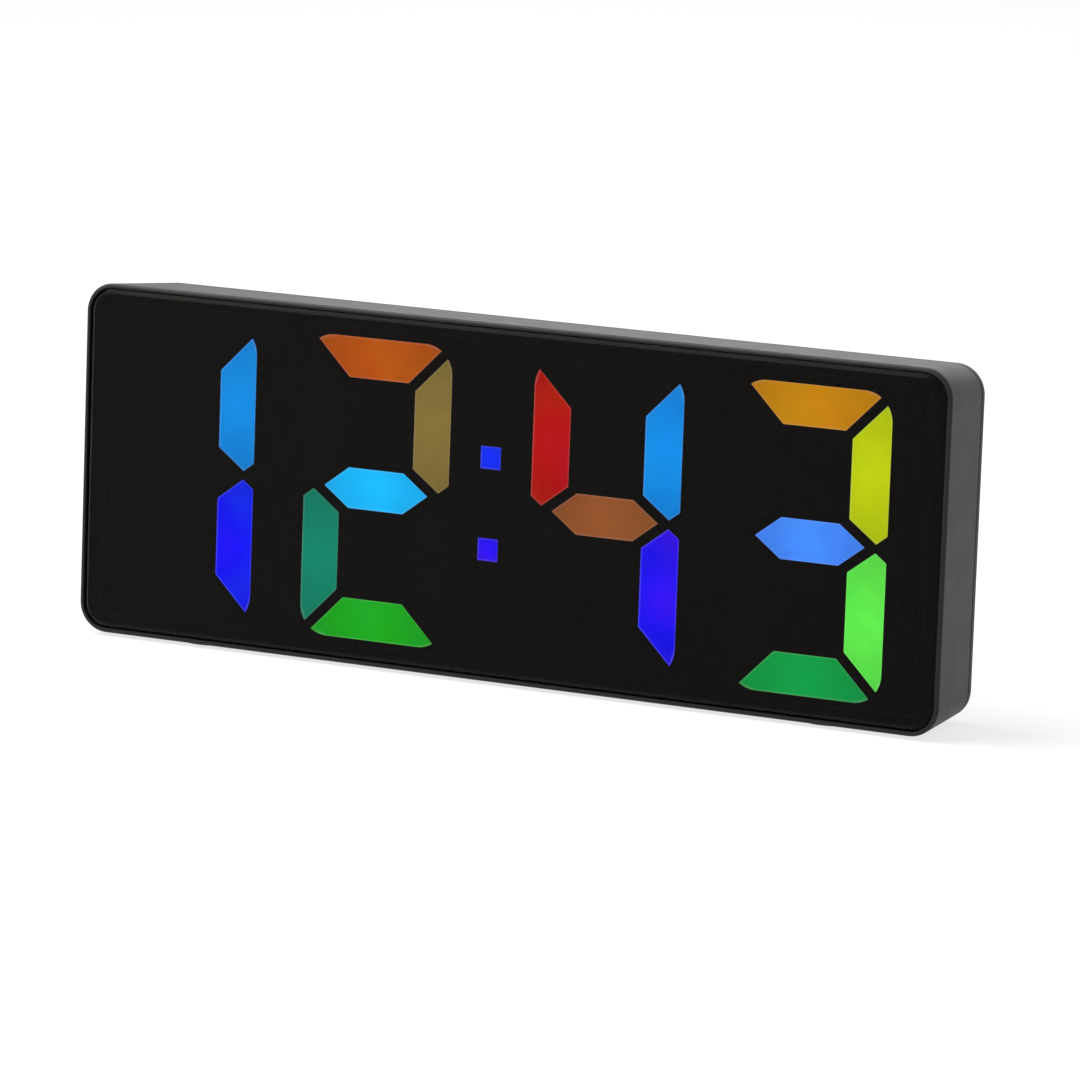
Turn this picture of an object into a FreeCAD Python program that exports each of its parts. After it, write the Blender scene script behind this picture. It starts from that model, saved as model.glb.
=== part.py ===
import FreeCAD, Part
import math
import os
import re
import Sketcher

# A mains-fed desk clock with a large four-digit multicolour display. Millimetres: X runs along the
# clock, -Y is the side with the display and +Z is up. The origin is under the middle of the clock,
# on the surface that its rubber feet stand on.
#
# Every size is named once here. "Depth" is always measured back from the face of the case.
SIZES = {
    # Case: the front housing and the rear cover share one outline, which narrows towards the rear.
    "case_width": 160.0,
    "case_height": 60.0,
    "case_depth": 20.0,
    "case_radius": 5.0,
    "case_wall": 1.6,
    "side_draft": 2.5,
    "top_draft": 1.6,
    "rim_round": 0.5,
    "rear_bevel": 1.2,
    "cover_rim": 2.7,
    "seam_bevel": 0.25,
    "cover_plate": 1.8,
    "lip_length": 1.5,
    "lip_thickness": 1.2,
    "lip_clearance": 0.15,
    # Lens: a smoked acrylic sheet, taped to a ledge inside the front housing.
    "lens_rim": 0.75,
    "lens_clearance": 0.15,
    "lens_thickness": 1.5,
    "lens_bevel": 0.8,
    "lens_bevel_depth": 0.35,
    "tape_thickness": 0.3,
    "tape_inset": 0.3,
    "ledge_thickness": 1.2,
    "ledge_reach": 3.5,
    "ledge_rise": 2.8,
    "ledge_radius": 2.0,
    # Display block: the reflector, its black mask, and the board behind it.
    "block_depth": 6.5,
    "block_clearance": 0.2,
    "block_flange": 0.6,
    "block_flange_depth": 2.0,
    "mask_thickness": 0.2,
    "mask_inset": 0.3,
    "board_thickness": 1.2,
    "board_inset": 0.4,
    # Digits: seven-segment figures with mitred, rounded outer corners, set into the block.
    "left_margin": 1.7,
    "right_margin": 6.9,
    "top_margin": 1.8,
    "bottom_margin": 1.15,
    "digit_gap": 9.6,
    "colon_gap": 15.2,
    "digit_radius": 5.0,
    "segment_stroke": 6.9,
    "segment_gap": 1.7,
    "waist_slope": 0.75,
    "waist_inset": 2.5,
    "point_inset": 2.0,
    "colon_dot": 3.8,
    "colon_rise": 7.7,
    # Diffusers: milky inserts that sit in pockets of the reflector, over its light funnels.
    "diffuser_thickness": 1.2,
    "diffuser_overlap": 0.3,
    "diffuser_clearance": 0.1,
    "funnel_inset": 0.4,
    "funnel_draft": 12.0,
    # Light-emitting diodes, one behind each segment.
    "led_length": 3.5,
    "led_breadth": 2.8,
    "led_thickness": 1.4,
    "colon_led_side": 2.0,
    # Screws and what they go into.
    "boss_radius": 3.0,
    "boss_inset": 6.2,
    "boss_clearance": 0.3,
    "screw_seat": 0.8,
    "seat_rise": 1.0,
    "screw_head_radius": 2.3,
    "screw_head_height": 1.5,
    "screw_shank_radius": 1.05,
    "screw_shank_length": 8.0,
    "screw_clearance": 0.05,
    "screw_passage": 0.3,
    "drive_slot_length": 2.6,
    "drive_slot_width": 0.6,
    "drive_slot_depth": 0.7,
    "board_screw_rise": 13.0,
    "board_screw_head_radius": 1.9,
    "board_screw_head_height": 1.2,
    "board_screw_shank_radius": 0.9,
    "board_screw_shank_length": 5.0,
    # Posts of the rear cover, which hold the board against the reflector.
    "post_span": 3.2,
    "post_web": 1.2,
    "post_inset": 7.2,
    "post_drop": 9.0,
    # Push buttons in the rear cover, each over a switch on the board.
    "button_pitch": 14.0,
    "button_rise": 14.0,
    "button_length": 9.0,
    "button_breadth": 5.0,
    "button_radius": 2.0,
    "button_bevel": 0.4,
    "button_stand": 0.8,
    "button_travel": 0.5,
    "button_clearance": 0.2,
    "button_flange": 1.0,
    "button_flange_thickness": 1.1,
    "button_play": 0.1,
    "stem_side": 2.4,
    "switch_side": 6.0,
    "switch_height": 3.5,
    "plunger_side": 3.0,
    "plunger_rise": 1.5,
    "plunger_hold": 0.5,
    "plunger_clearance": 0.1,
    # Backup cell, its holder and its bayonet door in the rear cover.
    "cell_radius": 10.0,
    "cell_thickness": 3.2,
    "cell_step": 0.8,
    "cell_step_height": 0.3,
    "cell_clearance": 0.2,
    "holder_wall": 2.0,
    "holder_floor": 0.8,
    "holder_rim": 0.4,
    "holder_notch": 8.0,
    "contact_thickness": 0.3,
    "contact_breadth": 5.0,
    "contact_reach": 7.5,
    "contact_tip": 1.5,
    "door_clearance": 0.2,
    "door_disc": 1.0,
    "door_shoulder": 1.6,
    "cell_passage": 0.4,
    "door_plug_wall": 1.2,
    "door_roof": 1.9,
    "lug_reach": 1.4,
    "lug_breadth": 4.0,
    "lug_thickness": 0.9,
    "lug_play": 0.1,
    "lug_count": 3,
    "door_turn": 40.0,
    "notch_clearance": 0.3,
    "coin_slot_length": 14.0,
    "coin_slot_width": 1.6,
    "coin_slot_depth": 0.7,
    "well_wall": 1.2,
    "well_gap": 1.1,
    # Power socket, a small upright receptacle on the board.
    "socket_inset": 20.0,
    "socket_drop": 14.0,
    "socket_length": 8.9,
    "socket_breadth": 3.2,
    "socket_radius": 1.5,
    "socket_shell": 0.3,
    "socket_recess": 0.4,
    "socket_clearance": 0.3,
    "socket_depth": 6.0,
    "tongue_length": 6.6,
    "tongue_breadth": 0.7,
    "tongue_setback": 0.9,
    # Sounder and the slots that let it out.
    "sounder_rise": 12.0,
    "sounder_radius": 6.0,
    "sounder_height": 6.0,
    "sounder_bevel": 0.5,
    "sounder_hole": 1.0,
    "sound_slot_count": 5,
    "sound_slot_pitch": 2.4,
    "sound_slot_width": 1.2,
    "sound_slot_length": 8.0,
    # Chips and crystal on the rear of the board.
    "chip_row_drop": 12.0,
    "driver_side": 20.0,
    "driver_end": 0.5,
    "driver_breadth": 7.5,
    "driver_height": 2.3,
    "leg_pitch": 1.27,
    "leg_count": 12,
    "leg_width": 0.45,
    "leg_reach": 1.4,
    "leg_thickness": 0.3,
    "clock_chip_side": 7.0,
    "clock_chip_height": 1.4,
    "clock_chip_bevel": 0.5,
    "crystal_rise": 8.5,
    "crystal_length": 11.0,
    "crystal_breadth": 4.5,
    "crystal_height": 3.5,
    "crystal_radius": 2.0,
    # Rubber feet, let into the bottom of the front housing.
    "foot_inset": 22.0,
    "foot_length": 12.0,
    "foot_breadth": 9.0,
    "foot_radius": 4.0,
    "foot_depth": 2.6,
    "foot_stand": 0.6,
    "foot_bevel": 0.3,
    "foot_sink": 0.8,
    "foot_clearance": 0.1,
}

# Places that several pieces share, as expressions of the sizes.
FACE = "(-(case_depth + button_stand) / 2)"
MIDDLE = "(foot_stand + case_height / 2)"
LENS_BACK = "lens_thickness"
LEDGE_FRONT = "(lens_thickness + tape_thickness)"
LEDGE_BACK = "(lens_thickness + tape_thickness + ledge_thickness)"
BLOCK_FRONT = "(lens_thickness + mask_thickness)"
BLOCK_BACK = "(lens_thickness + mask_thickness + block_depth)"
BOARD_BACK = "(lens_thickness + mask_thickness + block_depth + board_thickness)"
SEAM = "(case_depth - cover_rim)"
PLATE_FRONT = "(case_depth - cover_plate)"
BOSS_END = "(case_depth - cover_plate - seat_rise)"
BLOCK_WIDTH = "(case_width - 2 * ledge_reach - 2 * block_clearance)"
BLOCK_HEIGHT = "(case_height - 2 * ledge_rise - 2 * block_clearance)"
DIGIT_WIDTH = f"(({BLOCK_WIDTH} - left_margin - right_margin - 2 * digit_gap - colon_gap) / 4)"
DIGIT_HEIGHT = f"({BLOCK_HEIGHT} - top_margin - bottom_margin)"
DIGIT_MIDDLE = f"({MIDDLE} + (bottom_margin - top_margin) / 2)"
DIGIT_PITCH = f"({DIGIT_WIDTH} + digit_gap)"
COLON_PITCH = f"({DIGIT_WIDTH} + colon_gap)"
DISPLAY_MIDDLE = "((left_margin - right_margin) / 2)"
FIRST_DIGIT = f"({DISPLAY_MIDDLE} - {COLON_PITCH} / 2 - {DIGIT_PITCH})"
HOURS_GAP = f"({DISPLAY_MIDDLE} - {COLON_PITCH} / 2 - {DIGIT_PITCH} / 2)"
MINUTES_GAP = f"({DISPLAY_MIDDLE} + {COLON_PITCH} / 2 + {DIGIT_PITCH} / 2)"
POST_X = "(case_width / 2 - post_inset)"
POST_RISE = "(case_height / 2 - post_drop)"
FOOT_X = "(case_width / 2 - foot_inset)"
SOCKET_X = "(case_width / 2 - socket_inset)"
SOCKET_Z = f"({MIDDLE} - socket_drop)"
SOUNDER_Z = f"({MIDDLE} + sounder_rise)"
WALL_TO_POST = f"({HOURS_GAP} - post_span / 2 + case_width / 2 - side_draft - case_wall)"
CELL_X = f"({HOURS_GAP} - post_span / 2 - {WALL_TO_POST} / 2)"
HOLDER_RADIUS = "(cell_radius + cell_clearance + holder_wall)"
HOLDER_HEIGHT = "(holder_floor + cell_thickness + holder_rim)"
PLUG_RADIUS = "(cell_radius + cell_passage)"
DOOR_RADIUS = f"({PLUG_RADIUS} + door_shoulder)"
DOOR_FACE = "(case_depth - door_disc)"
LUG_BACK = "(case_depth - cover_plate - lug_play)"
SWITCH_BACK = f"({BOARD_BACK} + switch_height)"
STEM_FRONT = f"({BOARD_BACK} + switch_height + plunger_rise)"

BUTTONS = ("set", "alarm", "up", "down")  # from left to right, as seen from the front
NEAR = 1e-4  # closer than this, two points are one

doc = FreeCAD.newDocument("desk_clock")
sheet = doc.addObject("Spreadsheet::Sheet", "Sizes")
for row, (alias, size) in enumerate(SIZES.items(), start=1):
    sheet.set(f"A{row}", alias)
    sheet.set(f"B{row}", str(size))
    sheet.setAlias(f"B{row}", alias)
doc.recompute()


def from_sheet(text):
    """The expression with every size in it looked up in the sheet."""
    return re.sub(r"[a-z][a-z_]+", lambda word: "Sizes." + word[0] if word[0] in SIZES else word[0], text)


def value(text):
    """What an expression of the sizes comes to now."""
    return float(sheet.evalExpression(from_sheet(text)))


def bind(thing, setting, text):
    thing.setExpression(setting, from_sheet(text))


# ---------------------------------------------------------------- sketches


def new_body(label):
    body = doc.addObject("PartDesign::Body", label)
    body.Label = label
    return body


def datum(body, role):
    """A plane or an axis of the body's own origin."""
    return next(item for item in body.Origin.OriginFeatures if item.Role == role)


def sketch_across(body, depth):
    """A sketch that faces the front, at a depth behind the face: x along the clock, y up."""
    sketch = body.newObject("Sketcher::SketchObject", "Across")
    sketch.AttachmentSupport = [(datum(body, "XZ_Plane"), "")]
    sketch.MapMode = "FlatFace"
    bind(sketch, "AttachmentOffset.Base.z", f"-({FACE} + {depth})")
    return sketch


def sketch_level(body, rise):
    """A level sketch at a height: x along the clock, y towards the rear."""
    sketch = body.newObject("Sketcher::SketchObject", "Level")
    sketch.AttachmentSupport = [(datum(body, "XY_Plane"), "")]
    sketch.MapMode = "FlatFace"
    bind(sketch, "AttachmentOffset.Base.z", rise)
    return sketch


def sketch_side(body, along):
    """A sketch seen from the right at a place along the clock: x towards the rear, y up."""
    sketch = body.newObject("Sketcher::SketchObject", "Side")
    sketch.AttachmentSupport = [(datum(body, "YZ_Plane"), "")]
    sketch.MapMode = "FlatFace"
    bind(sketch, "AttachmentOffset.Base.z", along)
    return sketch


def hold(sketch, kind, text, *points):
    """A constraint whose size is an expression."""
    index = sketch.addConstraint(Sketcher.Constraint(kind, *points, value(text)))
    bind(sketch, f"Constraints[{index}]", text)


def hold_point(sketch, edge, end, x, y):
    hold(sketch, "DistanceX", x, -1, 1, edge, end)
    hold(sketch, "DistanceY", y, -1, 1, edge, end)


def draw_loop(sketch, corners):
    """A closed outline. A corner is (x, y), or (x, y, centre x, centre y, radius) before an arc."""
    edges = []
    for corner, following in zip(corners, corners[1:] + corners[:1]):
        start = FreeCAD.Vector(value(corner[0]), value(corner[1]), 0)
        finish = FreeCAD.Vector(value(following[0]), value(following[1]), 0)
        if len(corner) == 2:
            edges.append((sketch.addGeometry(Part.LineSegment(start, finish)), 1, 2))
            continue
        centre = FreeCAD.Vector(value(corner[2]), value(corner[3]), 0)
        forwards = (start - centre).cross(finish - centre).z > 0
        turn = [math.atan2(spot.y - centre.y, spot.x - centre.x) for spot in (start, finish)]
        circle = Part.Circle(centre, FreeCAD.Vector(0, 0, 1), value(corner[4]))
        arc = Part.ArcOfCircle(circle, *(turn if forwards else reversed(turn)))
        edges.append((sketch.addGeometry(arc), *((1, 2) if forwards else (2, 1))))
    for (edge, _, last), (following, first, _) in zip(edges, edges[1:] + edges[:1]):
        sketch.addConstraint(Sketcher.Constraint("Coincident", edge, last, following, first))
    for (edge, first, _), corner in zip(edges, corners):
        hold_point(sketch, edge, first, corner[0], corner[1])
        if len(corner) > 2:
            hold(sketch, "Radius", corner[4], edge)


def draw_circle(sketch, x, y, radius):
    centre = FreeCAD.Vector(value(x), value(y), 0)
    edge = sketch.addGeometry(Part.Circle(centre, FreeCAD.Vector(0, 0, 1), value(radius)))
    hold_point(sketch, edge, 3, x, y)
    hold(sketch, "Radius", radius, edge)


def draw_rectangle(sketch, left, low, right, high):
    draw_loop(sketch, [(left, low), (right, low), (right, high), (left, high)])


def draw_rounded(sketch, left, low, right, high, radius):
    """A rectangle with four round corners."""
    in_left, in_right = f"({left}) + ({radius})", f"({right}) - ({radius})"
    in_low, in_high = f"({low}) + ({radius})", f"({high}) - ({radius})"
    draw_loop(sketch, [
        (in_left, low),
        (in_right, low, in_right, in_low, radius),
        (right, in_low),
        (right, in_high, in_right, in_high, radius),
        (in_right, high),
        (in_left, high, in_left, in_high, radius),
        (left, in_high),
        (left, in_low, in_left, in_low, radius),
    ])


def draw_rounded_at(sketch, x, y, length, breadth, radius):
    """A round-cornered rectangle about its middle."""
    draw_rounded(
        sketch,
        f"{x} - ({length}) / 2", f"{y} - ({breadth}) / 2",
        f"{x} + ({length}) / 2", f"{y} + ({breadth}) / 2",
        radius,
    )


def draw_rectangle_at(sketch, x, y, length, breadth):
    draw_rectangle(
        sketch,
        f"{x} - ({length}) / 2", f"{y} - ({breadth}) / 2",
        f"{x} + ({length}) / 2", f"{y} + ({breadth}) / 2",
    )


# ---------------------------------------------------------------- features


def pad(body, sketch, length, backwards=True):
    feature = body.newObject("PartDesign::Pad", "Pad")
    feature.Profile = sketch
    feature.Reversed = backwards
    bind(feature, "Length", length)
    return feature


def pocket(body, sketch, length, forwards=False):
    feature = body.newObject("PartDesign::Pocket", "Pocket")
    feature.Profile = sketch
    feature.Reversed = forwards
    bind(feature, "Length", length)
    return feature


def line_pattern(body, feature, length, count):
    """Repeats a feature along the clock."""
    pattern = body.newObject("PartDesign::LinearPattern", "Row")
    pattern.Originals = [feature]
    pattern.Direction = (datum(body, "X_Axis"), [""])
    bind(pattern, "Length", length)
    bind(pattern, "Occurrences", count)
    body.Tip = pattern
    return pattern


def four_digits(body, features):
    """Repeats what one digit has for all four: a pair of digits, then both pairs."""
    pattern = body.newObject("PartDesign::MultiTransform", "Digits")
    pattern.Originals = features
    steps = []
    for step_length in (DIGIT_PITCH, f"{DIGIT_PITCH} + {COLON_PITCH}"):
        step = body.newObject("PartDesign::LinearPattern", "Step")
        step.Direction = (datum(body, "X_Axis"), [""])
        bind(step, "Length", step_length)
        step.Occurrences = 2
        steps.append(step)
    pattern.Transformations = steps
    body.Tip = pattern
    return pattern


def edges_where(feature, wanted):
    """The names of the feature's edges whose every vertex passes a test."""
    return [
        f"Edge{number}"
        for number, edge in enumerate(feature.Shape.Edges, start=1)
        if all(wanted(vertex.Point) for vertex in edge.Vertexes)
    ]


def edges_at_depth(feature, depth):
    level = value(f"{FACE} + {depth}")
    return edges_where(feature, lambda point: abs(point.y - level) < NEAR)


def edges_round_face(feature, depth):
    """The names of the edges round the outside of the flat face at a depth."""
    level = value(f"{FACE} + {depth}")
    flat = [
        face for face in feature.Shape.Faces
        if all(abs(vertex.Point.y - level) < NEAR for vertex in face.Vertexes)
    ]
    outside = [edge for face in flat for edge in face.OuterWire.Edges]
    return [
        f"Edge{number}"
        for number, edge in enumerate(feature.Shape.Edges, start=1)
        if any(edge.isSame(other) for other in outside)
    ]


def fillet(body, feature, edges, radius):
    rounding = body.newObject("PartDesign::Fillet", "Fillet")
    rounding.Base = (feature, edges)
    bind(rounding, "Radius", radius)
    return rounding


def chamfer(body, feature, edges, size):
    bevel = body.newObject("PartDesign::Chamfer", "Chamfer")
    bevel.Base = (feature, edges)
    bind(bevel, "Size", size)
    return bevel


def draft(body, feature, near, far, angle):
    """Tilts the walls that run from one depth to another, so that what they enclose narrows rearwards."""
    levels = [value(f"{FACE} + {depth}") for depth in (near, far)]
    walls, floors = [], []
    for number, face in enumerate(feature.Shape.Faces, start=1):
        depths = [vertex.Point.y for vertex in face.Vertexes]
        reached = [any(abs(depth - level) < NEAR for depth in depths) for level in levels]
        inside = all(min(abs(depth - level) for level in levels) < NEAR for depth in depths)
        if inside and all(reached):
            walls.append(f"Face{number}")
        elif inside and reached[0]:
            floors.append(f"Face{number}")
    tilt = body.newObject("PartDesign::Draft", "Draft")
    tilt.Base = (feature, walls)
    tilt.NeutralPlane = (feature, floors[:1])
    tilt.Reversed = True
    bind(tilt, "Angle", angle)
    body.Tip = tilt
    doc.recompute()
    return tilt


# ---------------------------------------------------------------- outlines that pieces share


def case_edges(depth, inset):
    """The case's left, bottom, right and top at a depth, moved in by a wall."""
    side = f"(case_width / 2 - side_draft * ({depth}) / case_depth - ({inset}))"
    low = f"(foot_stand + ({inset}))"
    high = f"(foot_stand + case_height - top_draft * ({depth}) / case_depth - ({inset}))"
    return f"-{side}", low, side, high


def draw_case(sketch, depth, inset):
    radius = f"(case_radius - ({inset}))"
    draw_rounded(sketch, *case_edges(depth, inset), radius)


def draw_block(sketch, grow, radius):
    """The display block's outline, which the ledge, the mask and the board follow."""
    draw_rounded_at(
        sketch, "0", MIDDLE, f"{BLOCK_WIDTH} + 2 * ({grow})", f"{BLOCK_HEIGHT} + 2 * ({grow})", radius,
    )


def wall_height(way):
    """Half-way into the case wall: way is 1 at the top and -1 at the bottom."""
    return f"({MIDDLE} + {way} * (case_height / 2 - case_wall / 2 - (1 + {way}) / 2 * top_draft))"


def draw_boss(sketch, side, way):
    """A screw boss with its web to the case wall."""
    centre, wall = boss_height(way), wall_height(way)
    corners = [
        (f"{side} - boss_radius", wall),
        (f"{side} - boss_radius", centre, side, centre, "boss_radius"),
        (side, f"{centre} - {way} * boss_radius", side, centre, "boss_radius"),
        (f"{side} + boss_radius", centre),
        (f"{side} + boss_radius", wall),
    ]
    draw_loop(sketch, corners)


def draw_notch(sketch, side, way):
    """The square notch that clears a boss and its web."""
    half = "(boss_radius + boss_clearance)"
    inner = f"{boss_height(way)} - {way} * {half}"
    draw_rectangle(sketch, f"{side} - {half}", inner, f"{side} + {half}", wall_height(way))


BOSSES = [(side, way) for side in (HOURS_GAP, MINUTES_GAP) for way in (1, -1)]


def boss_height(way):
    return f"({MIDDLE} + {way} * (case_height / 2 - boss_inset))"


def segment_outline(letter, inset, across, up, rounded=False):
    """One segment's corners, moved in from its drawn edge, about a digit's middle at (across, up).

    The figure is a rounded rectangle. 45 degree mitres part its corners, and shallower ones part the
    middle bar from the uprights, which meet in a point. Every other segment mirrors a, b or g. The
    mask's windows are rounded. What is behind them has each round end cut off straight instead,
    along the chord of the window's arc.
    """
    half_width = f"({DIGIT_WIDTH} / 2 - {inset})"
    half_height = f"({DIGIT_HEIGHT} / 2 - {inset})"
    stroke = f"(segment_stroke - 2 * {inset})"
    gap = f"(segment_gap / 2 + {inset})"
    radius = f"(digit_radius - {inset})"
    centre_x = f"({DIGIT_WIDTH} / 2 - digit_radius)"
    centre_y = f"({DIGIT_HEIGHT} / 2 - digit_radius)"
    mitre = f"({gap} * sqrt(2))"
    if rounded:
        end = "0"
        near_tip = f"({radius} * cos(45 deg + asin({gap} / {radius})))"
        far_tip = f"({radius} * sin(45 deg + asin({gap} / {radius})))"
    else:
        swing = "(asin(segment_gap / 2 / digit_radius) / 2)"
        slant = f"(67.5 deg + {swing})"
        chord = f"(digit_radius * cos(22.5 deg - {swing}) - {inset})"
        end = f"(({chord} - {radius} * sin({slant})) / cos({slant}))"
        near_tip = f"(({chord} - {mitre} * sin({slant})) / (cos({slant}) + sin({slant})))"
        far_tip = f"({near_tip} + {mitre})"
    waist_x = f"({DIGIT_WIDTH} / 2 - waist_inset)"
    waist_rise = f"({gap} * sqrt(1 + waist_slope * waist_slope))"
    point_x = f"({DIGIT_WIDTH} / 2 - point_inset)"
    point_y = f"(waist_slope * ({waist_x} - {point_x}) + {waist_rise})"
    inner_x = f"({half_width} - {stroke})"
    inner_y = f"({half_height} - {stroke})"
    base = {"a": "a", "d": "a", "b": "b", "c": "b", "e": "b", "f": "b", "g": "g"}[letter]
    flip_x = -1 if letter in "ef" else 1
    flip_y = -1 if letter in "cde" else 1
    if base == "a":
        corners = [
            (f"-({inner_x} - {mitre})", inner_y),
            (f"({inner_x} - {mitre})", inner_y),
            (f"({centre_x} + {near_tip})", f"({centre_y} + {far_tip})", centre_x, centre_y, radius),
            (f"({centre_x} + {end})", half_height),
            (f"-({centre_x} + {end})", half_height, f"-{centre_x}", centre_y, radius),
            (f"-({centre_x} + {near_tip})", f"({centre_y} + {far_tip})"),
        ]
    elif base == "b":
        corners = [
            (inner_x, f"({inner_y} - {mitre})"),
            (inner_x, f"(waist_slope * ({waist_x} - {inner_x}) + {waist_rise})"),
            (point_x, point_y),
            (half_width, f"({point_y} + waist_slope * ({half_width} - {point_x}))"),
            (half_width, f"({centre_y} + {end})", centre_x, centre_y, radius),
            (f"({centre_x} + {far_tip})", f"({centre_y} + {near_tip})"),
        ]
    else:
        bar = f"({stroke} / 2)"
        bar_x = f"({waist_x} - ({bar} + {waist_rise}) / waist_slope)"
        end_x = f"({waist_x} - {waist_rise} / waist_slope)"
        corners = [
            (f"-{end_x}", "0"), (f"-{bar_x}", f"-{bar}"), (bar_x, f"-{bar}"),
            (end_x, "0"), (bar_x, bar), (f"-{bar_x}", bar),
        ]
    placed = []
    for corner in corners:
        spots = [
            f"{across} + {flip_x} * {spot}" if number % 2 == 0 else f"{up} + {flip_y} * {spot}"
            for number, spot in enumerate(corner[:4] if rounded else corner[:2])
        ]
        placed.append((*spots, *corner[4:]) if rounded else tuple(spots))
    return placed


def draw_digit(sketch, inset, rounded=False):
    """The seven segments of the leftmost digit."""
    for letter in "abcdefg":
        draw_loop(sketch, segment_outline(letter, inset, FIRST_DIGIT, DIGIT_MIDDLE, rounded))


def draw_colon(sketch, inset):
    for way in (1, -1):
        size = f"(colon_dot - 2 * {inset})"
        draw_rectangle_at(sketch, DISPLAY_MIDDLE, f"({DIGIT_MIDDLE} + {way} * colon_rise)", size, size)


# ---------------------------------------------------------------- case and lens


def front_lens():
    body = new_body("front_lens")
    sketch = sketch_across(body, "0")
    draw_case(sketch, "0", "lens_rim + lens_clearance")
    sheet_pad = pad(body, sketch, "lens_thickness")
    doc.recompute()
    bevel = chamfer(body, sheet_pad, edges_at_depth(sheet_pad, "0"), "lens_bevel_depth")
    bevel.ChamferType = "Two distances"
    bind(bevel, "Size2", "lens_bevel")
    return body


def lens_tape():
    body = new_body("lens_tape")
    sketch = sketch_across(body, LENS_BACK)
    draw_case(sketch, "0", "lens_rim + lens_clearance + tape_inset")
    draw_block(sketch, "block_clearance", "ledge_radius")
    pad(body, sketch, "tape_thickness")
    return body


def case_wedge(body, kind, near, far, inset):
    """The case's form between two depths, moved in by a wall, with its four long edges rounded."""
    wedge = body.newObject(f"PartDesign::{kind}Wedge", kind + "Wedge")
    corners = []
    for depth, level, settings in (
        (near, "Ymin", ("Xmin", "Zmin", "Xmax", "Zmax")),
        (far, "Ymax", ("X2min", "Z2min", "X2max", "Z2max")),
    ):
        bind(wedge, level, f"{FACE} + {depth}")
        places = case_edges(depth, inset)
        for setting, place in zip(settings, places):
            bind(wedge, setting, place)
        left, low, right, high = [value(place) for place in places]
        y = value(f"{FACE} + {depth}")
        corners += [FreeCAD.Vector(x, y, z) for x in (left, right) for z in (low, high)]
    doc.recompute()
    at_corners = edges_where(wedge, lambda point: any(point.distanceToPoint(spot) < NEAR for spot in corners))
    long_edges = [
        name for name in at_corners
        if wedge.Shape.getElement(name).BoundBox.YLength > NEAR
    ]
    rounded = fillet(body, wedge, long_edges, f"case_radius - {inset}")
    doc.recompute()
    return rounded


def front_housing():
    body = new_body("front_housing")
    case_wedge(body, "Additive", "0", SEAM, "0")
    shell = case_wedge(body, "Subtractive", LEDGE_BACK, SEAM, "case_wall")
    rim = fillet(body, shell, edges_round_face(shell, "0"), "rim_round")
    doc.recompute()
    chamfer(body, rim, edges_round_face(rim, SEAM), "seam_bevel")

    recess = sketch_across(body, "0")
    draw_case(recess, "0", "lens_rim")
    pocket(body, recess, LEDGE_FRONT)
    opening = sketch_across(body, "0")
    draw_block(opening, "block_clearance", "ledge_radius")
    pocket(body, opening, LEDGE_BACK)

    bosses = sketch_across(body, LEDGE_BACK)
    for side, way in BOSSES:
        draw_boss(bosses, side, way)
    pad(body, bosses, f"{BOSS_END} - {LEDGE_BACK}")
    pilots = sketch_across(body, BOSS_END)
    for side, way in BOSSES:
        draw_circle(pilots, side, boss_height(way), "screw_shank_radius + screw_clearance")
    pocket(body, pilots, "screw_shank_length", forwards=True)

    seats = sketch_level(body, "foot_stand")
    for way in (1, -1):
        draw_foot(seats, way, "foot_clearance")
    pocket(body, seats, "foot_sink", forwards=True)
    return body


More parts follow.
